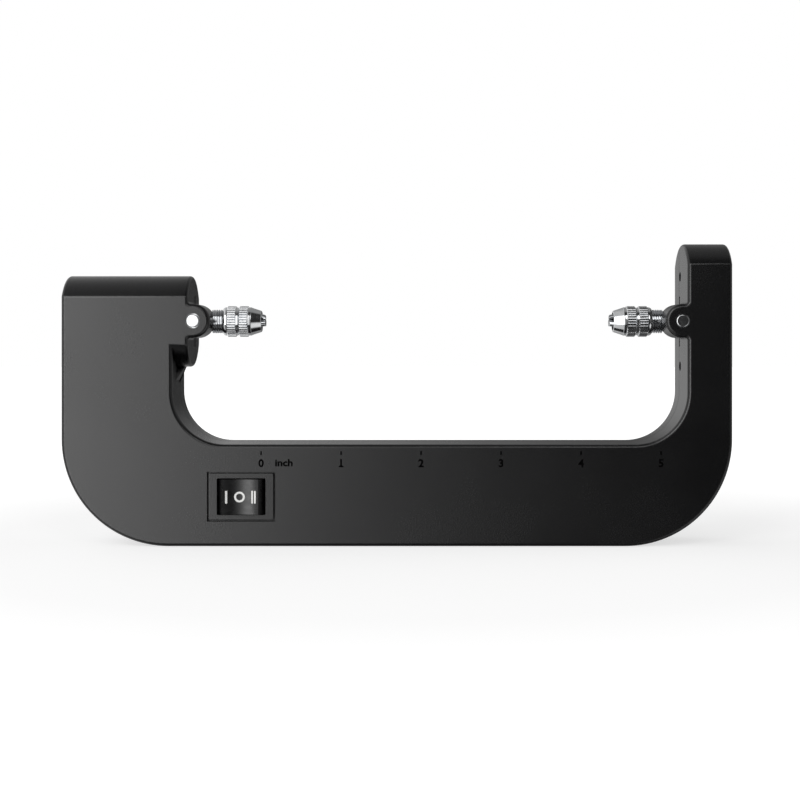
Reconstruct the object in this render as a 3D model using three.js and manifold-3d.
// Coil winding jig: a C-shaped battery case whose two towers carry keyless chucks on one axis.
// A gear motor turns the left chuck, the right chuck idles, and a centre-off rocker picks the direction.
// Units are millimetres. X runs along the base, Y from the front face to the back, and Z points up.
// The origin lies on the resting face, half way along and half way through the case.

import * as THREE from "three";
import { mergeVertices } from "three/addons/utils/BufferGeometryUtils.js";
import Module from "manifold-3d";

const wasm = await Module();
wasm.setup();

// Case: what it holds, and the room left round that, set its outer sizes further down
const axisHeight = 71.7;
const motorRoom = 0.8;
const motorEndRoom = 1.55;
const rightTailRoom = 0.35;
const bayMargin = 1.95;
const switchStretch = 42.3;
const bayRightStretch = 27.4;
const crownBulge = 2.15;
const rightCrownLift = 10.35;
const footRadius = 34;
const mouthRadius = 16.5;
const edgeRadius = 1.2;
const crownEdge = 1;
const wall = 1.8;
const drumReach = 4.9;
const parting = 3.4;
const partingGap = 0.3;
const tongueHalfHeight = 7.85;
const tongueReach = 1.4;

// Clearances and cuts
const gap = 0.3;
const overrun = 1;
const footSteps = 10;
const mouthSteps = 8;
const crownSteps = 16;
const edgeSteps = 2;
const domeSteps = 4;
const roundSteps = 20;
const innerSteps = 14;
const boreSteps = 10;
const springStepsPerTurn = 8;
const springSides = 5;

// Lock bosses on the front face, one before each chuck
const bossRadius = 5.43;
const bossOffset = 1.55;
const bossFaceWall = 2.4;
const chamberRadius = 3.45;
const chamberFloor = 0.7;

// Lock pins and their springs
const pinRadius = 2.05;
const pinChamfer = 0.3;
const pinProud = 0.25;
const pinCollarRadius = 3;
const pinCollarThickness = 0.9;
const pinNoseRadius = 1;
const pinStandoff = 0.45;
const pinSpringWire = 0.45;
const pinSpringRadius = 1.75;
const pinSpringTurns = 3;

// Spindles
const journalRadius = 3;
const threadRadius = 3.8;
const threadShow = 3.65;
const threadGrip = 3.75;
const spindleBore = 1.1;
const spindleBoreDepth = 9.5;
const lockHoleRadius = 1.25;
const leftSpindleTail = 13.1;
const socketRadius = 4.4;
const socketLength = 8;
const rightSpindleTail = 13.7;
const ringGroove = 0.4;
const ringThickness = 0.7;
const ringSetback = 0.5;
const ringRadius = 4.2;

// Chucks, from the threaded rear towards the jaws
const collarLength = 1.3;
const collarRadius = 4.62;
const collarRearRadius = 4.35;
const knurlLength = 3.05;
const knurlRadius = 5;
const knurlDepth = 0.3;
const knurlChamfer = 0.3;
const knurlRidges = 28;
const grooveLength = 0.85;
const grooveRadius = 4.5;
const sleeveGap = 0.15;
const shoulderLength = 1;
const shoulderRadius = 4.6;
const coneLength = 3.2;
const coneRearRadius = 4.45;
const coneNoseRadius = 3.4;
const sleeveBore = 4.25;
const sleeveMouth = 2.85;
const coreRadius = 3.8;
const coreNoseRadius = 2.95;
const coreSetback = 1.4;
const coreTaper = 2.4;
const jawShow = 1.25;

// Jaws
const jawCount = 3;
const jawRadius = 1;
const jawTipOffset = 1.05;
const jawAngle = (14 * Math.PI) / 180;
const jawLength = 4.6;
const jawTravel = 2.8;
const jawParting = 0.15;
const jawSteps = 12;

// Bearings
const bushRadius = 3.9;
const bushFlangeRadius = 5.8;
const bushFlange = 1;
const bearingRadius = 5;
const bearingWidth = 3;
const bearingSpread = 5.2;
const bearingEdge = 0.3;
const blockPlate = 3;
const blockHalfWidth = 6.6;
const blockHalfHeight = 17.4;
const blockHubRadius = 6.6;
const blockHubLength = 8.9;
const blockScrewPitch = 29.2;
const blockScrewSetback = 1.6;
const blockScrewRadius = 1.25;
const blockScrewHead = 2.4;
const blockScrewShank = 0.9;
const blockScrewHeadRecess = 0.5;
const blockScrewHeadDepth = 1;

// Gear motor
const motorRadius = 10;
const gearboxLength = 9;
const gearboxNose = 3;
const gearboxNoseLength = 0.9;
const motorCanLength = 10.8;
const motorCapLength = 2;
const motorTabWidth = 2.2;
const motorTabThickness = 0.5;
const motorTabReach = 1.8;
const motorTabOffset = 6;
const motorShaftRadius = 1.5;
const motorShaftReach = 5.4;
const saddleThickness = 1.6;
const saddleHalfGap = 1;
const saddleHalfHeight = 12.3;
const saddleSetback = 4.5;

// Rocker switch
const switchInset = 21.85;
const switchDrop = 0.35;
const bezelWidth = 20.9;
const bezelHeight = 15;
const bezelThickness = 1.8;
const bezelEdge = 0.25;
const switchBodyWidth = 19;
const switchBodyHeight = 12.9;
const switchBodyDepth = 9.4;
const windowWidth = 15.5;
const windowHeight = 11.7;
const windowDepth = 6.1;
const switchPad = 1.9;
const switchPadMargin = 2.6;
const rockerCrestHalf = 5.6;
const rockerDish = 1.1;
const rockerProud = 2;
const rockerSkirt = 1;
const rockerEdge = 0.25;
const rockerSteps = 6;
const axleRadius = 0.9;
const bladeWidth = 4.75;
const bladeThickness = 0.8;
const bladeLength = 5;
const bladePitch = 6.2;
const bladeSlot = 1.6;

// Battery bay
const cellRadius = 5.25;
const cellLength = 43.2;
const nubRadius = 1.9;
const nubLength = 0.8;
const cellEdge = 0.5;
const rowGap = 0.9;
const trayWall = 1.2;
const trayRim = 5.3;
const trayRoom = 2.5;
const trayRibThickness = 1.5;
const trayRibShares = [0.08, 0.5, 0.92];
const plateThickness = 0.5;
const plateWidth = 8;
const batterySpringLength = 3.2;
const batterySpringRadius = 2.6;
const batterySpringWire = 0.5;
const batterySpringTurns = 2.5;

// Battery door on the back
const doorLip = 1.25;
const doorInset = 1;
const doorHookWidth = 6;
const doorHookReach = 1.2;
const doorHookShares = [0.2, 0.8];
const doorThumbRadius = 7;
const doorThumbDepth = 0.9;
const stopReach = 2;
const stopHeight = 14;

// Case screws
const postRadius = 2.9;
const pilotRadius = 1.4;
const pilotDepth = 10;
const sinkPostRadius = 4.1;
const sinkRadius = 2.9;
const sinkDepth = 5.4;
const screwHeadRadius = 2.5;
const screwHeadHeight = 1.8;
const screwShankRadius = 1.1;
const screwGrip = 11;
const postEdgeX = 8.2;
const postFootX = 22;
const postFootZ = 13;
const postBelowAxis = 22.7;
const rightPostBelowAxis = 25.7;
const postBayGap = 5.8;

// Leads
const leadRadius = 0.55;
const leadSides = 5;
const leadStep = 5;
const leadBackSetback = 2.6;
const leadFrontSetback = 5.8;
const leadLoop = 3;
const leadRowShare = 0.38;
const tabDrop = 5;

// The gear motor's stack and the outer sizes of the case that holds it, the cells and the spindles
const gearboxFace = -leftSpindleTail - gap - gearboxNoseLength;
const motorCanFace = gearboxFace - gearboxLength - gap;
const motorCapFace = motorCanFace - motorCanLength;
const motorEnd = motorCapFace - gap - motorCapLength - motorTabReach;
const rowPitch = 2 * cellRadius + rowGap;
const bayHalfHeight = rowPitch / 2 + cellRadius + gap;
const bayLength = 2 * (cellLength + nubLength) + batterySpringLength + 2 * plateThickness + 6 * gap;
const depth = 2 * (motorRadius + motorRoom + wall);
const doorHeight = 2 * (bayHalfHeight + trayWall - doorLip);
const baseHeight = 2 * (bayHalfHeight + trayWall + bayMargin + wall);
const leftTowerWidth = wall + motorEndRoom - motorEnd - bossOffset - drumReach;
const rightTowerWidth = rightSpindleTail - bossOffset + rightTailRoom + wall;
const length = leftTowerWidth + switchStretch + bayLength + bayRightStretch + rightTowerWidth;
const crownRadius = depth / 2 + crownBulge;

// Places worked out from the sizes
const front = -depth / 2;
const back = depth / 2;
const left = -length / 2;
const right = length / 2;
const leftWall = left + leftTowerWidth;
const rightWall = right - rightTowerWidth;
const drumFace = leftWall + drumReach;
const frontLimit = parting - partingGap / 2;
const rearLimit = parting + partingGap / 2;
const rightCrown = axisHeight + rightCrownLift;
const leftBoss = drumFace + bossOffset;
const rightBoss = rightWall - bossOffset;
const innerFront = front + wall;
const innerBack = back - wall;
const threadStart = Math.sqrt(bossRadius ** 2 - (journalRadius + gap) ** 2) + gap;
const chuckStart = threadStart + threadShow;
const rearKnurlStart = chuckStart + collarLength;
const rearKnurlEnd = rearKnurlStart + knurlLength;
const sleeveStart = rearKnurlEnd + grooveLength;
const frontKnurlEnd = sleeveStart + knurlLength;
const shoulderEnd = frontKnurlEnd + shoulderLength;
const noseEnd = shoulderEnd + coneLength;
const jawTip = noseEnd + jawShow;
const wallLocal = -bossOffset;
const wallLocalInner = -bossOffset - wall;
const blockFace = wallLocalInner - gap;
const bayLeft = leftWall + switchStretch;
const bayRight = bayLeft + bayLength;
const bayZ = baseHeight / 2;
const cellY = innerBack - trayRoom - trayRim;
const trayFloor = cellY - cellRadius - gap;
const trayEdge = cellY + trayRim;
const switchX = leftWall + switchInset;
const switchZ = bayZ - switchDrop;
const switchFloor = front + switchBodyDepth + bezelThickness;
const rockerRadius = windowWidth / 2 - gap;
const rockerPivot = front - rockerProud + Math.sqrt(rockerRadius ** 2 - rockerCrestHalf ** 2);
const doorBottom = bayZ - doorHeight / 2;
const leftPlate = bayLeft + gap;
const rightPlate = bayRight - gap - plateThickness;
const bladeEnd = switchFloor + bladeLength + gap + leadRadius;
const leftTowerMiddle = (left + leftWall) / 2;
const postTowerZ = axisHeight - postBelowAxis;
const postMidX = bayLeft - postBayGap;
const leadBackY = innerBack - leadBackSetback;
const leadFrontY = innerFront + leadFrontSetback;
const motorTabX = leftBoss + motorEnd + motorTabReach / 2;
const saddleBottom = axisHeight - saddleHalfHeight;

// Finishes
const blackShell = new THREE.MeshStandardMaterial({ color: 0x2b2b2c, roughness: 0.62, metalness: 0 });
const glossBlack = new THREE.MeshStandardMaterial({ color: 0x151516, roughness: 0.22, metalness: 0 });
const chrome = new THREE.MeshStandardMaterial({ color: 0xd9dadb, roughness: 0.12, metalness: 1 });
const hardenedSteel = new THREE.MeshStandardMaterial({ color: 0x9fa2a5, roughness: 0.3, metalness: 1 });
const zincSteel = new THREE.MeshStandardMaterial({ color: 0xb9bcc0, roughness: 0.35, metalness: 1 });
const bronze = new THREE.MeshStandardMaterial({ color: 0xb08a4a, roughness: 0.4, metalness: 1 });
const brass = new THREE.MeshStandardMaterial({ color: 0xc9a850, roughness: 0.35, metalness: 1 });
const nylon = new THREE.MeshStandardMaterial({ color: 0xe6e2d6, roughness: 0.5, metalness: 0 });
const cellJacket = new THREE.MeshStandardMaterial({ color: 0x3f6f8f, roughness: 0.35, metalness: 0.3 });
const redSheath = new THREE.MeshStandardMaterial({ color: 0xa3231f, roughness: 0.5, metalness: 0 });
const blackSheath = new THREE.MeshStandardMaterial({ color: 0x1a1a1a, roughness: 0.5, metalness: 0 });

// Points along an arc, both ends included
function arc(cx, cy, radius, from, to, steps) {
  const points = [];
  for (let i = 0; i <= steps; i++) {
    const angle = from + ((to - from) * i) / steps;
    points.push(new THREE.Vector2(cx + radius * Math.cos(angle), cy + radius * Math.sin(angle)));
  }
  return points;
}

// A solid from a closed geometry, with its faces turned outwards
function solid(geometry) {
  const bare = geometry.clone();
  bare.deleteAttribute("normal");
  bare.deleteAttribute("uv");
  const merged = mergeVertices(bare);
  const position = merged.attributes.position;
  const index = merged.index.array;
  const corners = [new THREE.Vector3(), new THREE.Vector3(), new THREE.Vector3()];
  const triangles = [];
  let volume = 0;
  for (let i = 0; i < index.length; i += 3) {
    const [a, b, c] = [index[i], index[i + 1], index[i + 2]];
    if (a === b || b === c || a === c) continue;
    corners.forEach((corner, k) => corner.fromBufferAttribute(position, index[i + k]));
    volume += corners[0].dot(corners[1].clone().cross(corners[2]));
    triangles.push(a, b, c);
  }
  if (volume < 0) triangles.reverse();
  return new wasm.Manifold(
    new wasm.Mesh({
      numProp: 3,
      vertProperties: new Float32Array(position.array),
      triVerts: new Uint32Array(triangles),
    }),
  );
}

// A named mesh from a solid
function piece(name, body, material) {
  const raw = body.getMesh();
  const geometry = new THREE.BufferGeometry();
  geometry.setAttribute("position", new THREE.BufferAttribute(new Float32Array(raw.vertProperties), 3));
  geometry.setIndex(new THREE.BufferAttribute(new Uint32Array(raw.triVerts), 1));
  geometry.computeVertexNormals();
  const mesh = new THREE.Mesh(geometry, material);
  mesh.name = name;
  return mesh;
}

function extrusion(shape, reach, edge, segments = edgeSteps) {
  return new THREE.ExtrudeGeometry(shape, {
    depth: reach - 2 * edge,
    steps: 1,
    curveSegments: roundSteps,
    bevelEnabled: edge > 0,
    bevelThickness: edge,
    bevelSize: edge,
    bevelOffset: -edge,
    bevelSegments: segments,
  }).translate(0, 0, edge);
}

// An outline drawn in X and Z, carried from one depth to another
function slab(points, yFrom, yTo, edge = 0) {
  const geometry = extrusion(new THREE.Shape(points), yTo - yFrom, edge);
  return solid(geometry.rotateX(Math.PI / 2).translate(0, yTo, 0));
}

// A section drawn in Y and Z, carried along X
function bar(points, xFrom, xTo, edge = 0, segments = edgeSteps) {
  const geometry = extrusion(new THREE.Shape(points), xTo - xFrom, edge, segments);
  const alongX = new THREE.Matrix4().makeBasis(
    new THREE.Vector3(0, 1, 0),
    new THREE.Vector3(0, 0, 1),
    new THREE.Vector3(1, 0, 0),
  );
  return solid(geometry.applyMatrix4(alongX).translate(xFrom, 0, 0));
}

// A plan drawn in X and Y, carried upwards
function column(points, zFrom, zTo, edge = 0) {
  return solid(extrusion(new THREE.Shape(points), zTo - zFrom, edge).translate(0, 0, zFrom));
}

function rectangle(x0, x1, y0, y1) {
  return [
    new THREE.Vector2(x0, y0),
    new THREE.Vector2(x1, y0),
    new THREE.Vector2(x1, y1),
    new THREE.Vector2(x0, y1),
  ];
}

function block(x0, x1, y0, y1, z0, z1) {
  const geometry = new THREE.BoxGeometry(x1 - x0, y1 - y0, z1 - z0);
  return solid(geometry.translate((x0 + x1) / 2, (y0 + y1) / 2, (z0 + z1) / 2));
}

// A revolve about X of a profile of [place along the axis, radius] pairs
function turnedX(profile, steps = roundSteps) {
  const points = profile.map(([along, radius]) => new THREE.Vector2(radius, along));
  return solid(new THREE.LatheGeometry(points, steps).rotateZ(-Math.PI / 2));
}

// The same about Y
function turnedY(profile, steps = roundSteps) {
  const points = profile.map(([along, radius]) => new THREE.Vector2(radius, along));
  return solid(new THREE.LatheGeometry(points, steps));
}

function rodX(from, to, radius, steps = roundSteps) {
  return turnedX([[from, 0], [from, radius], [to, radius], [to, 0]], steps);
}

function rodY(from, to, radius, steps = roundSteps) {
  return turnedY([[from, 0], [from, radius], [to, radius], [to, 0]], steps);
}

// Outline of the case seen from the front, drawn in by an inset, with its tower tops left long
function caseOutline(inset) {
  const outerLeft = left + inset;
  const outerRight = right - inset;
  const innerLeft = leftWall - inset;
  const innerRight = rightWall + inset;
  const shelf = baseHeight - inset;
  const foot = footRadius - inset;
  const mouth = mouthRadius + inset;
  const top = rightCrown + crownRadius + overrun;
  return [
    ...arc(outerLeft + foot, inset + foot, foot, Math.PI, 1.5 * Math.PI, footSteps),
    ...arc(outerRight - foot, inset + foot, foot, 1.5 * Math.PI, 2 * Math.PI, footSteps),
    new THREE.Vector2(outerRight, top),
    new THREE.Vector2(innerRight, top),
    ...arc(innerRight - mouth, shelf + mouth, mouth, 0, -0.5 * Math.PI, mouthSteps),
    ...arc(innerLeft + mouth, shelf + mouth, mouth, -0.5 * Math.PI, -Math.PI, mouthSteps),
    new THREE.Vector2(innerLeft, top),
    new THREE.Vector2(outerLeft, top),
  ];
}

// Section of a tower that ends in a half-round crown
function archSection(radius, centre) {
  return [
    new THREE.Vector2(-radius, -overrun),
    new THREE.Vector2(radius, -overrun),
    ...arc(0, centre, radius, 0, Math.PI, crownSteps),
  ];
}

// Section of the drum round the left chuck's axis, flat at the front and back
function drumSection(radius, halfWidth) {
  const cut = Math.acos(halfWidth / radius);
  return [
    ...arc(0, axisHeight, radius, cut, Math.PI - cut, crownSteps),
    ...arc(0, axisHeight, radius, Math.PI + cut, 2 * Math.PI - cut, crownSteps),
  ];
}

// The case as one outer form, or as the space inside its walls
function caseForm(inset, edge) {
  const outline = slab(caseOutline(inset), front + inset, back - inset, edge);
  const radius = crownRadius - inset;
  const base = block(
    left - overrun,
    right + overrun,
    -crownRadius,
    crownRadius,
    -overrun,
    baseHeight + mouthRadius,
  );
  const end = edge > 0 ? crownEdge : 0;
  const crowns = base
    .add(bar(archSection(radius, axisHeight), left + inset, drumFace - inset, end))
    .add(bar(archSection(radius, rightCrown), rightWall + inset, right - inset, end));
  const drum = bar(drumSection(radius, depth / 2 - inset), leftWall - 2 * wall, drumFace - inset, end);
  return outline.intersect(crowns).add(drum);
}

// Profile of a lock boss: rounded at the front face and domed behind the axis
function bossHalf() {
  return [
    ...arc(front + edgeRadius, bossRadius - edgeRadius, edgeRadius, Math.PI, Math.PI / 2, edgeSteps),
    ...arc(0, 0, bossRadius, Math.PI / 2, 0, domeSteps),
  ];
}

// A lock boss joined to the wall behind it; side is the way from the boss to its wall
function lockBoss(side) {
  const half = bossHalf();
  const mirrored = half.map((p) => new THREE.Vector2(p.x, -p.y)).reverse();
  const section = [...half, ...mirrored.slice(1)];
  const away = block(-bossRadius - overrun, gap, front - overrun, crownRadius, -crownRadius, crownRadius);
  const dome = turnedY([[front, 0], ...half.map((p) => [p.x, p.y])]).intersect(away);
  const neck = bar(section, 0, bossOffset - gap);
  const embedded = block(
    0,
    bossOffset + wall,
    front,
    parting - tongueReach - partingGap,
    -crownRadius,
    crownRadius,
  );
  const root = bar(section, 0, bossOffset + wall / 2).intersect(embedded);
  const boss = dome.add(neck).add(root);
  return side > 0 ? boss : boss.mirror([1, 0, 0]);
}

// Everything bored through a lock boss, its wall and the tongue behind it
function bossBores(side) {
  const pinHole = rodY(front - overrun, front + bossFaceWall + overrun, pinRadius + gap);
  const chamberEnd = -(journalRadius + gap + chamberFloor);
  const chamber = rodY(front + bossFaceWall, chamberEnd, chamberRadius, innerSteps);
  const noseHole = rodY(chamberEnd - overrun, 0, pinNoseRadius + gap, boreSteps);
  const journal = rodX(-bossRadius - overrun, bossRadius + overrun, journalRadius + gap, innerSteps);
  const wallHole = rodX(bossOffset - gap / 2, bossOffset + wall + overrun, bushRadius + gap, innerSteps);
  const relief = rodX(-bossRadius - overrun, gap - threadStart, threadRadius + gap);
  const ends = wallHole.add(relief);
  return pinHole.add(chamber).add(noseHole).add(journal).add(side > 0 ? ends : ends.mirror([1, 0, 0]));
}

const postPlaces = [
  [left + postEdgeX, postTowerZ],
  [leftWall - postEdgeX, postTowerZ],
  [left + postFootX, postFootZ],
  [postMidX, bayZ],
  [right - postFootX, postFootZ],
  [right - rightTowerWidth / 2, axisHeight - rightPostBelowAxis],
];

function atPlace(body, [x, z]) {
  return body.translate([x, 0, z]);
}

function union(bodies) {
  return bodies.reduce((all, body) => all.add(body));
}

// Plates across the left tower with a half-round seat for the gear motor
function motorSaddles(yFrom, yTo) {
  const seat = rodX(left, drumFace, motorRadius + gap, innerSteps * 2).translate([0, 0, axisHeight]);
  const places = [
    leftBoss + gearboxFace - saddleSetback,
    leftBoss + motorCapFace + saddleSetback / 2,
  ];
  const plates = places.map((x) =>
    block(
      x - saddleThickness / 2,
      x + saddleThickness / 2,
      yFrom,
      yTo,
      axisHeight - saddleHalfHeight,
      axisHeight + saddleHalfHeight,
    ),
  );
  return union(plates).subtract(seat);
}

// Ribs behind the front face that carry the battery tray
function trayRibs() {
  return union(
    trayRibShares.map((share) => {
      const x = bayLeft + bayLength * share;
      return block(
        x - trayRibThickness / 2,
        x + trayRibThickness / 2,
        front,
        trayFloor - trayWall - gap,
        bayZ - bayHalfHeight,
        bayZ + bayHalfHeight,
      );
    }),
  );
}

// Tongues of the rear shell that close the slots through which the spindles are laid in
function tongues(margin) {
  const half = tongueHalfHeight + margin;
  const near = parting - tongueReach - margin;
  const setback = margin > 0 ? 0 : gap / 2;
  const reach = parting + wall;
  return union([
    block(drumFace - wall, drumFace - setback, near, reach, axisHeight - half, axisHeight + half),
    block(rightWall + setback, rightWall + wall, near, reach, axisHeight - half, axisHeight + half),
  ]);
}

function switchCuts() {
  const pocket = block(
    switchX - bezelWidth / 2 - gap,
    switchX + bezelWidth / 2 + gap,
    front - overrun,
    front + bezelThickness + gap / 2,
    switchZ - bezelHeight / 2 - gap,
    switchZ + bezelHeight / 2 + gap,
  );
  const through = block(
    switchX - switchBodyWidth / 2 - gap,
    switchX + switchBodyWidth / 2 + gap,
    front,
    innerFront + switchPad + overrun,
    switchZ - switchBodyHeight / 2 - gap,
    switchZ + switchBodyHeight / 2 + gap,
  );
  return pocket.add(through);
}

function switchSeat() {
  return block(
    switchX - bezelWidth / 2 - switchPadMargin,
    switchX + bezelWidth / 2 + switchPadMargin,
    front,
    innerFront + switchPad,
    switchZ - bezelHeight / 2 - switchPadMargin,
    switchZ + bezelHeight / 2 + switchPadMargin,
  );
}

// Countersunk clearance through the right inner wall for the bearing block's two screws
function blockScrewHoles() {
  const hole = rodX(rightWall - overrun, rightWall + wall + overrun, blockScrewRadius + gap, boreSteps);
  return union(
    [-1, 1].map((side) =>
      hole.translate([0, blockScrewSetback, axisHeight + (side * blockScrewPitch) / 2]),
    ),
  );
}

function frontShell(form, cavity) {
  const half = block(left - overrun, right + overrun, front - overrun, frontLimit, -overrun, 2 * length);
  const post = rodY(front, frontLimit, postRadius, innerSteps);
  const posts = union(postPlaces.map((place) => atPlace(post, place)));
  const kept = union([posts, trayRibs(), switchSeat(), motorSaddles(front, -saddleHalfGap)]);
  const space = cavity.subtract(kept);
  const pilots = union(
    postPlaces.map((place) => atPlace(rodY(frontLimit - pilotDepth, parting, pilotRadius, boreSteps), place)),
  );
  const shell = form.intersect(half).subtract(space).subtract(pilots).subtract(tongues(partingGap));
  const bosses = union([
    lockBoss(-1).translate([leftBoss, 0, axisHeight]),
    lockBoss(1).translate([rightBoss, 0, axisHeight]),
  ]);
  const bores = union([
    bossBores(-1).translate([leftBoss, 0, axisHeight]),
    bossBores(1).translate([rightBoss, 0, axisHeight]),
  ]);
  return shell.add(bosses).subtract(bores).subtract(switchCuts()).subtract(blockScrewHoles());
}

// Stops inside the back wall that the battery door rests on
function doorStops() {
  const bayEdges = [
    [bayLeft + doorInset, -1],
    [bayRight - doorInset, 1],
  ];
  return union(
    bayEdges.map(([edge, side]) => {
      const outer = edge + side * stopReach;
      const inner = edge - side * stopReach;
      const low = bayZ - stopHeight / 2;
      const high = bayZ + stopHeight / 2;
      const ledge = block(
        Math.min(inner, outer),
        Math.max(inner, outer),
        innerBack - wall,
        innerBack - gap,
        low,
        high,
      );
      const heel = block(Math.min(edge, outer), Math.max(edge, outer), innerBack - wall, back, low, high);
      return ledge.add(heel);
    }),
  );
}

function doorOpening(yFrom) {
  const top = doorBottom + doorHeight;
  return block(bayLeft + doorInset, bayRight - doorInset, yFrom, back + overrun, doorBottom, top);
}

function rearShell(form, cavity) {
  const half = block(left - overrun, right + overrun, rearLimit, back + overrun, -overrun, 2 * length);
  const post = rodY(rearLimit, back, sinkPostRadius, innerSteps);
  const posts = union(postPlaces.map((place) => atPlace(post, place)));
  const kept = union([posts, motorSaddles(rearLimit, back)]);
  const sinks = union(
    postPlaces.map((place) =>
      atPlace(
        rodY(back - sinkDepth, back + overrun, sinkRadius, innerSteps).add(
          rodY(parting - overrun, back, pilotRadius, boreSteps),
        ),
        place,
      ),
    ),
  );
  const wallHoles = union([
    rodX(leftBoss - bossOffset - wall - overrun, leftBoss, bushRadius + gap, innerSteps),
    rodX(rightBoss, rightBoss + bossOffset + wall + overrun, bushRadius + gap, innerSteps),
  ]).translate([0, 0, axisHeight]);
  const shell = form.intersect(half).subtract(cavity.subtract(kept)).subtract(sinks);
  return shell
    .subtract(doorOpening(innerBack - overrun))
    .add(doorStops())
    .add(tongues(0))
    .subtract(wallHoles);
}

function batteryDoor() {
  const panel = block(
    bayLeft + doorInset + gap,
    bayRight - doorInset - gap,
    innerBack,
    back,
    doorBottom + gap,
    doorBottom + doorHeight - gap,
  );
  const span = bayLength - 2 * doorInset;
  const hooks = doorHookShares.map((share) => {
    const x = bayLeft + doorInset + span * share;
    return block(
      x - doorHookWidth / 2,
      x + doorHookWidth / 2,
      innerBack - wall,
      innerBack - gap,
      doorBottom - doorHookReach,
      doorBottom + doorHookReach,
    ).add(
      block(
        x - doorHookWidth / 2,
        x + doorHookWidth / 2,
        innerBack - wall,
        innerBack + wall / 2,
        doorBottom + gap,
        doorBottom + doorHookReach,
      ),
    );
  });
  const thumb = rodY(back - doorThumbDepth, back + overrun, doorThumbRadius).translate([
    bayLeft + bayLength / 2,
    0,
    doorBottom + doorHeight,
  ]);
  return panel.add(union(hooks)).subtract(thumb);
}

function batteryTray() {
  const shell = block(
    bayLeft - trayWall,
    bayRight + trayWall,
    trayFloor - trayWall,
    trayEdge,
    bayZ - bayHalfHeight - trayWall,
    bayZ + bayHalfHeight + trayWall,
  );
  const roomBottom = bayZ - bayHalfHeight;
  const roomTop = bayZ + bayHalfHeight;
  const room = block(bayLeft, bayRight, trayFloor, trayEdge + overrun, roomBottom, roomTop);
  return shell.subtract(room);
}

// A cell lying along X with its positive nub towards +X
function batteryCell() {
  return turnedX([
    [0, 0],
    [0, cellRadius - cellEdge],
    [cellEdge, cellRadius],
    [cellLength - cellEdge, cellRadius],
    [cellLength, cellRadius - cellEdge],
    [cellLength, nubRadius],
    [cellLength + nubLength, nubRadius],
    [cellLength + nubLength, 0],
  ], innerSteps);
}

class Helix extends THREE.Curve {
  constructor(radius, reach, turns) {
    super();
    this.radius = radius;
    this.reach = reach;
    this.turns = turns;
  }
  getPoint(t, target = new THREE.Vector3()) {
    const angle = 2 * Math.PI * this.turns * t;
    return target.set(this.reach * t, this.radius * Math.cos(angle), this.radius * Math.sin(angle));
  }
}

// A coil spring along X, standing on X = 0
function coilSpring(name, radius, wire, reach, turns) {
  const curve = new Helix(radius, reach - wire, turns);
  const steps = Math.round(turns * springStepsPerTurn);
  const section = arc(0, 0, wire / 2, 0, 2 * Math.PI, springSides).slice(0, springSides);
  const geometry = new THREE.ExtrudeGeometry(new THREE.Shape(section), {
    steps,
    bevelEnabled: false,
    extrudePath: curve,
  });
  console.log(`${name}: least gap between turns ${leastGap(curve, wire, turns).toFixed(2)} mm`);
  return solid(geometry.translate(wire / 2, 0, 0));
}

// Least distance between wire surfaces half a turn or more apart, measured on points of the curve
function leastGap(curve, wire, turns) {
  const samples = Math.ceil(turns * springStepsPerTurn * springSides);
  const points = curve.getPoints(samples);
  const apart = Math.ceil((springStepsPerTurn * springSides) / 2);
  let least = Infinity;
  for (let i = 0; i < points.length; i++) {
    for (let k = i + apart; k < points.length; k++) {
      least = Math.min(least, points[i].distanceTo(points[k]) - wire);
    }
  }
  return least;
}

// Straight-knurled ring with chamfered ends
function knurledRing(from, to) {
  const star = [];
  for (let i = 0; i < 2 * knurlRidges; i++) {
    const radius = i % 2 ? knurlRadius : knurlRadius - knurlDepth;
    const angle = (Math.PI * i) / knurlRidges;
    star.push(new THREE.Vector2(radius * Math.cos(angle), radius * Math.sin(angle)));
  }
  return bar(star, from, to, knurlChamfer, 1);
}

// Turns a solid that leans on the +Z side of the chuck's axis to the place of a numbered jaw
function jawPlace(body, number) {
  return body.rotate([(360 * number) / jawCount, 0, 0]);
}

// A jaw's round rod, leaning in towards the tip
function jawRod(radius, from, to) {
  const lean = (jawAngle * 180) / Math.PI;
  return rodX(from - jawTip, to - jawTip, radius, jawSteps)
    .rotate([0, lean, 0])
    .translate([jawTip, 0, jawTipOffset]);
}

function jaw() {
  const rod = jawRod(jawRadius, jawTip - 2 * jawLength, jawTip + jawLength);
  const slice = block(jawTip - jawLength, jawTip, -knurlRadius, knurlRadius, -knurlRadius, knurlRadius);
  const apex = jawParting / Math.sin(Math.PI / jawCount);
  const reach = knurlRadius;
  const spread = reach * Math.tan(Math.PI / jawCount);
  const corners = [[0, apex], [spread, apex + reach], [-spread, apex + reach]];
  const outline = corners.map(([across, out]) => new THREE.Vector2(across, out));
  const wedge = bar(outline, jawTip - 2 * jawLength, jawTip + overrun);
  return rod.intersect(slice).intersect(wedge);
}

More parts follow.
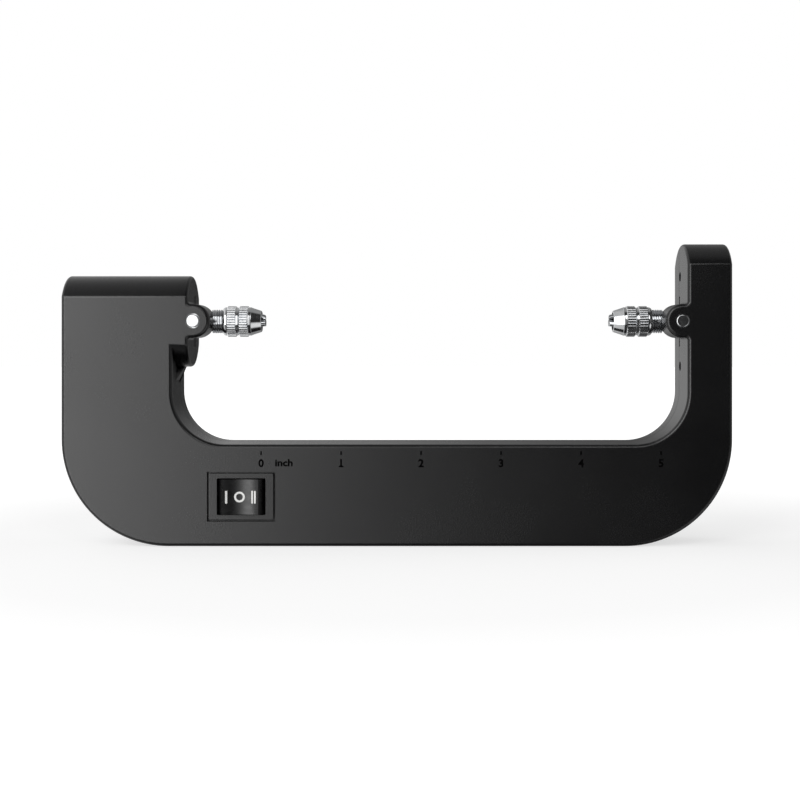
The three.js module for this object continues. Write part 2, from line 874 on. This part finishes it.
function chuckBody() {
  const coreEnd = noseEnd - coreSetback;
  const core = turnedX([
    [chuckStart, 0],
    [chuckStart, collarRearRadius],
    [chuckStart + collarLength / 2, collarRadius],
    [rearKnurlStart + overrun, collarRadius],
    [rearKnurlStart + overrun, grooveRadius],
    [sleeveStart - sleeveGap, grooveRadius],
    [sleeveStart - sleeveGap, coreRadius],
    [coreEnd - coreTaper, coreRadius],
    [coreEnd, coreNoseRadius],
    [coreEnd, 0],
  ]);
  const threadBore = rodX(chuckStart - overrun, chuckStart + threadGrip + gap, threadRadius + gap);
  const wireBore = rodX(chuckStart, jawTip, spindleBore);
  const slots = [];
  for (let i = 0; i < jawCount; i++) {
    const travelled = jawTip - jawLength - jawTravel - gap;
    slots.push(jawPlace(jawRod(jawRadius + gap, travelled, jawTip + jawLength), i));
  }
  return core.add(knurledRing(rearKnurlStart, rearKnurlEnd)).subtract(threadBore).subtract(wireBore)
    .subtract(union(slots));
}

function chuckSleeve() {
  const outer = turnedX([
    [sleeveStart, 0],
    [sleeveStart, shoulderRadius],
    [shoulderEnd - overrun / 2, shoulderRadius],
    [shoulderEnd, coneRearRadius],
    [noseEnd, coneNoseRadius],
    [noseEnd, 0],
  ]);
  const inner = turnedX([
    [sleeveStart - overrun, 0],
    [sleeveStart - overrun, sleeveBore],
    [shoulderEnd, sleeveBore],
    [noseEnd, sleeveMouth],
    [noseEnd + overrun, sleeveMouth],
    [noseEnd + overrun, 0],
  ]);
  return outer.add(knurledRing(sleeveStart, frontKnurlEnd)).subtract(inner);
}

// The journal, its four lock holes and the threaded end, ahead of a tail made for each side
function spindle(tailProfile) {
  const threadEnd = chuckStart + threadGrip;
  const body = turnedX([
    ...tailProfile,
    [threadStart, journalRadius],
    [threadStart, threadRadius - gap],
    [threadStart + gap, threadRadius],
    [threadEnd - gap, threadRadius],
    [threadEnd, threadRadius - gap],
    [threadEnd, 0],
  ]);
  const bore = rodX(threadEnd - spindleBoreDepth, threadEnd + overrun, spindleBore, boreSteps);
  const acrossY = rodY(-threadRadius, threadRadius, lockHoleRadius, boreSteps);
  return body.subtract(bore).subtract(acrossY).subtract(acrossY.rotate([90, 0, 0]));
}

function leftSpindle() {
  const socketEnd = -leftSpindleTail + socketLength;
  const tail = [
    [-leftSpindleTail, 0],
    [-leftSpindleTail, socketRadius],
    [socketEnd, socketRadius],
    [socketEnd, journalRadius],
  ];
  const socket = rodX(
    -leftSpindleTail - overrun,
    -leftSpindleTail + motorShaftReach + gap,
    motorShaftRadius + gap,
    boreSteps,
  );
  return spindle(tail).subtract(socket);
}

function rightSpindle() {
  const grooveEnd = -rightSpindleTail + ringSetback;
  const grooveStart = grooveEnd + ringThickness + gap;
  const tail = [
    [-rightSpindleTail, 0],
    [-rightSpindleTail, journalRadius],
    [grooveEnd, journalRadius],
    [grooveEnd, journalRadius - ringGroove],
    [grooveStart, journalRadius - ringGroove],
    [grooveStart, journalRadius],
  ];
  return spindle(tail);
}

function ring(from, to, bore, radius) {
  return turnedX([[from, bore], [from, radius], [to, radius], [to, bore], [from, bore]], innerSteps);
}

function retainingRing() {
  const from = -rightSpindleTail + ringSetback + gap / 2;
  const open = block(from - overrun, from + ringThickness + overrun, 0, knurlRadius, -gap, gap);
  return ring(from, from + ringThickness, journalRadius - ringGroove + gap / 2, ringRadius).subtract(open);
}

// Flanged bush of the left drum's end wall
function leftBush() {
  const flangeBack = wallLocalInner - gap - bushFlange;
  const nose = wallLocal - gap;
  return turnedX([
    [flangeBack, journalRadius + gap],
    [flangeBack, bushFlangeRadius],
    [flangeBack + bushFlange, bushFlangeRadius],
    [flangeBack + bushFlange, bushRadius],
    [nose, bushRadius],
    [nose, journalRadius + gap],
    [flangeBack, journalRadius + gap],
  ], innerSteps);
}

// Shielded ball bearing
function bearing(from) {
  const to = from + bearingWidth;
  const bore = journalRadius + gap;
  return turnedX([
    [from, bore],
    [from, bearingRadius - bearingEdge],
    [from + bearingEdge, bearingRadius],
    [to - bearingEdge, bearingRadius],
    [to, bearingRadius - bearingEdge],
    [to, bore],
    [from, bore],
  ], innerSteps);
}

// Block that holds the right spindle's two bearings, screwed to the inner wall
function bearingBlock() {
  const plate = bar(
    [
      ...arc(0, blockHalfHeight - blockHalfWidth, blockHalfWidth, 0, Math.PI, mouthSteps),
      ...arc(0, blockHalfWidth - blockHalfHeight, blockHalfWidth, Math.PI, 2 * Math.PI, mouthSteps),
    ],
    -blockFace,
    -blockFace + blockPlate,
  );
  const hub = rodX(-blockFace, -blockFace + blockHubLength, blockHubRadius, innerSteps);
  const bore = rodX(
    -blockFace - overrun,
    -blockFace + blockHubLength + overrun,
    bearingRadius + gap,
    innerSteps,
  );
  const pilots = [-1, 1].map((side) =>
    rodX(0, -blockFace + blockPlate + overrun, blockScrewShank + gap, boreSteps).translate([
      0,
      blockScrewSetback,
      (side * blockScrewPitch) / 2,
    ]),
  );
  return plate.add(hub).subtract(bore).subtract(union(pilots));
}

function blockScrew() {
  const head = rightWall + blockScrewHeadRecess;
  return turnedX([
    [head, 0],
    [head, blockScrewHead / 2],
    [head + blockScrewHeadDepth, blockScrewHead / 2],
    [head + blockScrewHeadDepth, blockScrewShank],
    [rightBoss - blockFace + blockPlate, blockScrewShank],
    [rightBoss - blockFace + blockPlate, 0],
  ], boreSteps);
}

function lockPin() {
  const head = front - pinProud;
  const collar = front + bossFaceWall + gap;
  const collarEnd = collar + pinCollarThickness;
  const nose = -journalRadius - pinStandoff;
  return turnedY([
    [head, 0],
    [head, pinRadius - pinChamfer],
    [head + pinChamfer, pinRadius],
    [collar, pinRadius],
    [collar, pinCollarRadius],
    [collarEnd, pinCollarRadius],
    [collarEnd, pinNoseRadius],
    [nose, pinNoseRadius],
    [nose, 0],
  ], innerSteps);
}

// Spring from the boss chamber's floor to the lock pin's collar
function lockSpring(name) {
  const collarEnd = front + bossFaceWall + gap + pinCollarThickness;
  const floor = -(journalRadius + gap + chamberFloor);
  const reach = floor - collarEnd - 2 * gap;
  const spring = coilSpring(name, pinSpringRadius, pinSpringWire, reach, pinSpringTurns);
  return spring.rotate([0, 0, 90]).translate([0, collarEnd + gap, 0]);
}

function gearbox() {
  const nose = rodX(gearboxFace, gearboxFace + gearboxNoseLength, gearboxNose, innerSteps);
  const box = rodX(gearboxFace - gearboxLength, gearboxFace, motorRadius);
  const boreRadius = motorShaftRadius + gap;
  const boreFrom = gearboxFace - gearboxLength / 2;
  const bore = rodX(boreFrom, gearboxFace + gearboxLength, boreRadius, boreSteps);
  return box.add(nose).subtract(bore);
}

function motorShaft() {
  const from = gearboxFace - gearboxLength / 2 + gap;
  return rodX(from, -leftSpindleTail + motorShaftReach, motorShaftRadius, boreSteps);
}

function motorCan() {
  return turnedX([
    [motorCapFace, 0],
    [motorCapFace, motorRadius],
    [motorCanFace - edgeRadius, motorRadius],
    [motorCanFace, motorRadius - edgeRadius],
    [motorCanFace, 0],
  ]);
}

function motorCap() {
  const end = motorCapFace - gap - motorCapLength;
  const cap = rodX(end, motorCapFace - gap, motorRadius - edgeRadius);
  const tabs = [-1, 1].map((side) =>
    block(
      end - motorTabReach,
      end + gap,
      side * motorTabOffset - motorTabWidth / 2,
      side * motorTabOffset + motorTabWidth / 2,
      -motorTabThickness / 2,
      motorTabThickness / 2,
    ),
  );
  return cap.add(union(tabs));
}

function switchHousing() {
  const bezel = slab(
    rectangle(-bezelWidth / 2, bezelWidth / 2, -bezelHeight / 2, bezelHeight / 2),
    front,
    front + bezelThickness,
    bezelEdge,
  );
  const body = block(
    -switchBodyWidth / 2,
    switchBodyWidth / 2,
    front + bezelThickness / 2,
    switchFloor,
    -switchBodyHeight / 2,
    switchBodyHeight / 2,
  );
  const room = block(
    -windowWidth / 2,
    windowWidth / 2,
    front - overrun,
    front + windowDepth,
    -windowHeight / 2,
    windowHeight / 2,
  );
  const axle = rodX(-bezelHeight, bezelHeight, axleRadius + gap, boreSteps)
    .rotate([0, 90, 0])
    .translate([0, rockerPivot, 0]);
  const slots = [-1, 0, 1].map((place) =>
    block(
      place * bladePitch - bladeThickness / 2 - gap,
      place * bladePitch + bladeThickness / 2 + gap,
      switchFloor - bladeSlot,
      switchFloor + overrun,
      -bladeWidth / 2 - gap,
      bladeWidth / 2 + gap,
    ),
  );
  return bezel.add(body).subtract(room).subtract(axle).subtract(union(slots));
}

// Dished rocker whose flanks are arcs about its own pivot
function rocker() {
  const crest = Math.acos(rockerCrestHalf / rockerRadius);
  const skirt = Math.asin(rockerSkirt / rockerRadius);
  const crestY = rockerRadius * Math.sin(crest);
  const dishRadius = (rockerCrestHalf ** 2 + rockerDish ** 2) / (2 * rockerDish);
  const dishHalf = Math.asin(rockerCrestHalf / dishRadius);
  const dishCentre = -(crestY - rockerDish + dishRadius);
  const dishFrom = Math.PI / 2 + dishHalf;
  const dishTo = Math.PI / 2 - dishHalf;
  const plan = [
    ...arc(0, 0, rockerRadius, -crest, skirt, rockerSteps),
    ...arc(0, 0, rockerRadius, Math.PI - skirt, Math.PI + crest, rockerSteps),
    ...arc(0, dishCentre, dishRadius, dishFrom, dishTo, rockerSteps).slice(1, -1),
  ];
  const halfHeight = windowHeight / 2 - gap;
  const body = column(plan, -halfHeight, halfHeight, rockerEdge);
  const reach = switchBodyHeight / 2;
  const axle = rodX(-reach, reach, axleRadius, boreSteps).rotate([0, 90, 0]);
  return body.add(axle);
}

function switchBlade(place) {
  const x = place * bladePitch;
  return block(
    x - bladeThickness / 2,
    x + bladeThickness / 2,
    switchFloor - bladeSlot + gap,
    switchFloor + bladeLength,
    -bladeWidth / 2,
    bladeWidth / 2,
  );
}

function caseScrew() {
  const seat = back - sinkDepth + gap;
  return turnedY([
    [seat - screwGrip, 0],
    [seat - screwGrip, screwShankRadius],
    [seat, screwShankRadius],
    [seat, screwHeadRadius],
    [seat + screwHeadHeight, screwHeadRadius],
    [seat + screwHeadHeight, 0],
  ], boreSteps);
}

// A sheathed lead along a soft curve through its points
function lead(points) {
  const curve = new THREE.CatmullRomCurve3(points.map((p) => new THREE.Vector3(...p)), false, "centripetal");
  const section = arc(0, 0, leadRadius, 0, 2 * Math.PI, leadSides).slice(0, leadSides);
  return solid(
    new THREE.ExtrudeGeometry(new THREE.Shape(section), {
      steps: Math.ceil(curve.getLength() / leadStep),
      bevelEnabled: false,
      extrudePath: curve,
    }),
  );
}

// The way up the left tower from its foot, past the case screws and under the saddles, to a motor tab
function towerRun(y, tabY) {
  return [
    [leftWall - tabDrop, y, baseHeight],
    [leftTowerMiddle, y, postTowerZ - postRadius],
    [leftTowerMiddle - leadLoop, y, postTowerZ + 2 * postRadius],
    [left + postEdgeX, y, saddleBottom - postRadius],
    [motorTabX, tabY, saddleBottom + postRadius],
    [motorTabX, tabY, axisHeight - motorTabThickness / 2 - gap],
  ];
}

// From a left contact, out over the tray's edge and across to a switch terminal
function trayRun(z, terminalX, level) {
  return [
    [leftPlate + plateThickness / 2, trayEdge + gap, z],
    [leftPlate, trayEdge + gap + 2 * leadRadius, z],
    [bayLeft - trayWall - 2 * leadRadius, trayEdge + gap + 2 * leadRadius, z],
    [postMidX - leadLoop, leadBackY, level],
    [terminalX, leadBackY, level],
    [terminalX, leadBackY, switchZ],
    [terminalX, bladeEnd, switchZ],
  ];
}

const jig = new THREE.Group();

// Adds a named piece to a group and returns its mesh
function add(group, name, body, material) {
  const mesh = piece(name, body, material);
  group.add(mesh);
  return mesh;
}

// The two shells and the screws that hold them together
const form = caseForm(0, edgeRadius);
const cavity = caseForm(wall, 0);
add(jig, "front_shell", frontShell(form, cavity), blackShell);
add(jig, "rear_shell", rearShell(form, cavity), blackShell);
add(jig, "battery_door", batteryDoor(), blackShell);
postPlaces.forEach(([x, z], i) => {
  add(jig, `case_screw_${i + 1}`, caseScrew(), zincSteel).position.set(x, 0, z);
});

// The rocker switch
const switchGroup = new THREE.Group();
switchGroup.position.set(switchX, 0, switchZ);
jig.add(switchGroup);
add(switchGroup, "switch_housing", switchHousing(), blackShell);
add(switchGroup, "rocker", rocker(), glossBlack).position.set(0, rockerPivot, 0);
[-1, 0, 1].forEach((place, i) => {
  add(switchGroup, `switch_terminal_${i + 1}`, switchBlade(place), brass);
});

// The battery bay: two rows of two cells, joined at the right and tapped at the left
add(jig, "battery_tray", batteryTray(), blackShell);
const rows = [rowPitch / 2, -rowPitch / 2];
const cellPitch = cellLength + nubLength + gap;
const plusStart = bayLeft + 2 * gap + plateThickness + nubLength;
const minusStart = bayLeft + 3 * gap + plateThickness + batterySpringLength;
for (let i = 0; i < 2; i++) {
  const upper = add(jig, `battery_cell_${i + 1}`, batteryCell(), cellJacket);
  upper.position.set(plusStart + cellLength + i * cellPitch, cellY, bayZ + rows[0]);
  upper.rotation.z = Math.PI;
  const lower = add(jig, `battery_cell_${i + 3}`, batteryCell(), cellJacket);
  lower.position.set(minusStart + i * cellPitch, cellY, bayZ + rows[1]);
}

function contactPlate(x, low, high) {
  const margin = plateWidth / 2;
  return block(x, x + plateThickness, trayFloor + gap, trayEdge, bayZ + low - margin, bayZ + high + margin);
}
add(jig, "contact_plus", contactPlate(leftPlate, rows[0], rows[0]), zincSteel);
add(jig, "contact_minus", contactPlate(leftPlate, rows[1], rows[1]), zincSteel);
add(jig, "contact_bridge", contactPlate(rightPlate, rows[1], rows[0]), zincSteel);
function batterySpring(name) {
  return coilSpring(
    name,
    batterySpringRadius,
    batterySpringWire,
    batterySpringLength,
    batterySpringTurns,
  );
}
const minusSpring = add(jig, "battery_spring_1", batterySpring("battery_spring_1"), hardenedSteel);
minusSpring.position.set(leftPlate + plateThickness + gap, cellY, bayZ + rows[1]);
const bridgeSpring = add(jig, "battery_spring_2", batterySpring("battery_spring_2"), hardenedSteel);
bridgeSpring.position.set(rightPlate - gap - batterySpringLength, cellY, bayZ + rows[0]);

// Chucks: the same pieces on both sides, the right one turned about Z to face the left
const leftChuck = new THREE.Group();
leftChuck.position.set(leftBoss, 0, axisHeight);
const rightChuck = new THREE.Group();
rightChuck.position.set(rightBoss, 0, axisHeight);
rightChuck.rotation.z = Math.PI;
jig.add(leftChuck, rightChuck);
const chucks = [
  ["left", leftChuck, leftSpindle()],
  ["right", rightChuck, rightSpindle()],
];
chucks.forEach(([side, group, shaft]) => {
  add(group, `${side}_spindle`, shaft, hardenedSteel);
  add(group, `${side}_chuck_body`, chuckBody(), chrome);
  add(group, `${side}_chuck_sleeve`, chuckSleeve(), chrome);
  for (let i = 0; i < jawCount; i++) {
    add(group, `${side}_jaw_${i + 1}`, jawPlace(jaw(), i), hardenedSteel);
  }
});

// The gear motor and bush behind the left chuck
add(leftChuck, "left_bush", leftBush(), bronze);
add(leftChuck, "motor_shaft", motorShaft(), hardenedSteel);
add(leftChuck, "gearbox", gearbox(), zincSteel);
add(leftChuck, "motor_can", motorCan(), zincSteel);
add(leftChuck, "motor_cap", motorCap(), nylon);

// The bearings behind the right chuck
const bearingEnd = blockFace - gap;
add(rightChuck, "right_bearing_1", bearing(bearingEnd - bearingWidth), zincSteel);
add(rightChuck, "right_bearing_2", bearing(bearingEnd - bearingWidth - bearingSpread), zincSteel);
add(rightChuck, "retaining_ring", retainingRing(), zincSteel);
add(jig, "bearing_block", bearingBlock(), blackShell).position.set(rightBoss, 0, axisHeight);
[-1, 1].forEach((side, i) => {
  const screw = add(jig, `block_screw_${i + 1}`, blockScrew(), zincSteel);
  screw.position.set(0, blockScrewSetback, axisHeight + (side * blockScrewPitch) / 2);
});

// The lock pins and their springs
[["left", leftBoss], ["right", rightBoss]].forEach(([side, x]) => {
  add(jig, `${side}_lock_pin`, lockPin(), zincSteel).position.set(x, 0, axisHeight);
  const spring = add(jig, `${side}_lock_spring`, lockSpring(`${side}_lock_spring`), hardenedSteel);
  spring.position.set(x, 0, axisHeight);
});

// Leads: the ends of the rows to the switch, its middle terminal and the bridge to the motor
const upperLevel = bayZ + bayHalfHeight - leadLoop / 2;
const lowerLevel = bayZ - bayHalfHeight + leadLoop;
const tapZ = bayZ + rows[0] + plateWidth * leadRowShare;
const tapLevel = (bayZ + bayHalfHeight + trayWall + baseHeight - wall) / 2;
add(jig, "lead_plus", lead(trayRun(tapZ, switchX + bladePitch, upperLevel)), redSheath);
add(jig, "lead_minus", lead(
  trayRun(bayZ + rows[1] - plateWidth * leadRowShare, switchX - bladePitch, lowerLevel),
), blackSheath);
add(jig, "lead_motor", lead([
  [switchX, bladeEnd, switchZ],
  [switchX, leadBackY, switchZ + leadLoop],
  [switchX - 2 * leadLoop, leadBackY, baseHeight - 2 * leadLoop],
  ...towerRun(leadBackY, motorTabOffset),
]), redSheath);
add(jig, "lead_tap", lead([
  [rightPlate + plateThickness / 2, trayEdge + gap, tapZ],
  [rightPlate + plateThickness / 2, trayEdge + gap + 2 * leadRadius, tapZ + leadRadius],
  [rightPlate, trayEdge + gap + 2 * leadRadius, tapLevel - leadLoop / 2],
  [rightPlate - leadLoop, trayEdge + gap + 2 * leadRadius, tapLevel],
  [rightPlate - 5 * leadLoop, cellY, tapLevel],
  [bayLeft, cellY, tapLevel],
  [switchX, leadFrontY / 2, tapLevel],
  ...towerRun(leadFrontY, -motorTabOffset),
]), blackSheath);

export default jig;
